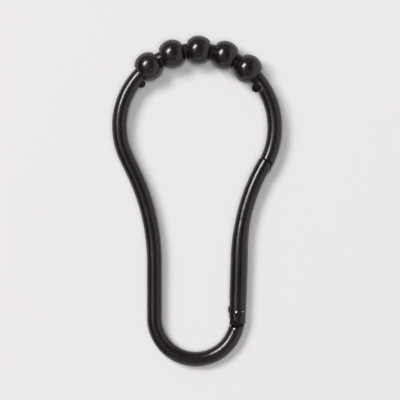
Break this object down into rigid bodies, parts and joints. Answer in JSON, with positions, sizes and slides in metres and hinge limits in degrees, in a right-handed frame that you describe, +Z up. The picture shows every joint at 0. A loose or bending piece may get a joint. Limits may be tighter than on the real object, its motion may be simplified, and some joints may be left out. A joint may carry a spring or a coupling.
{
  "type": "shower curtain hook",
  "caption": "Pear-shaped wire ring that hangs a curtain from a rod, with roller balls along the top and a sprung gate in one arm.",
  "frame": {"origin": "centre of the ring's round top arc, midway through the wire, where the centre of a rod that fills the top would be", "axes": "+Z up as the ring hangs, +X to the gate's side, +Y along the rod, away from the front face"},
  "size_m": [0.0411, 0.007, 0.0798],
  "materials": {
    "frame_coating": "satin black coating",
    "gate_coating": "satin black coating",
    "rivet_coating": "satin black coating",
    "bead_coating": "semi-gloss black coating",
    "spring_steel": "drawn steel wire",
    "plunger_steel": "turned steel"
  },
  "bodies": {
    "frame": {"ring_frame": "frame_coating"},
    "gate": {"gate": "gate_coating", "gate_rivet": "rivet_coating", "gate_spring": "spring_steel"},
    "plunger": {"spring_plunger": "plunger_steel"},
    "bead_1": {"roller_bead_1": "bead_coating"},
    "bead_2": {"roller_bead_2": "bead_coating"},
    "bead_3": {"roller_bead_3": "bead_coating"},
    "bead_4": {"roller_bead_4": "bead_coating"},
    "bead_5": {"roller_bead_5": "bead_coating"}
  },
  "joints": [
    {"name": "gate_hinge", "type": "hinge", "parent": "frame", "child": "gate", "pos_m": [0.01004, 0, -0.04467], "axis": [0, -1, 0], "range_deg": [0, 30], "stiffness_Nm_per_rad": 0.04, "springref_deg": -34.38},
    {"name": "plunger_slide", "type": "slide", "parent": "gate", "child": "plunger", "axis": [0.0314, 0, 0.9995], "range_m": [0, 0.001], "deforming": ["gate_spring"]},
    {"name": "bead_1_spin", "type": "hinge", "parent": "frame", "child": "bead_1", "pos_m": [-0.01159, 0, 0.01492], "axis": [0.7897, 0, 0.6135], "continuous": true},
    {"name": "bead_2_spin", "type": "hinge", "parent": "frame", "child": "bead_2", "pos_m": [-0.00592, 0, 0.01794], "axis": [0.9496, 0, 0.3135], "continuous": true},
    {"name": "bead_3_spin", "type": "hinge", "parent": "frame", "child": "bead_3", "pos_m": [0.00043, 0, 0.01889], "axis": [0.9997, 0, -0.0227], "continuous": true},
    {"name": "bead_4_spin", "type": "hinge", "parent": "frame", "child": "bead_4", "pos_m": [0.00673, 0, 0.01765], "axis": [0.9344, 0, -0.3562], "continuous": true},
    {"name": "bead_5_spin", "type": "hinge", "parent": "frame", "child": "bead_5", "pos_m": [0.01225, 0, 0.01438], "axis": [0.7611, 0, -0.6487], "continuous": true}
  ],
  "couplings": [
    {"joint": "plunger_slide", "follows": "gate_hinge", "m_per_rad": 0.0018}
  ]
}
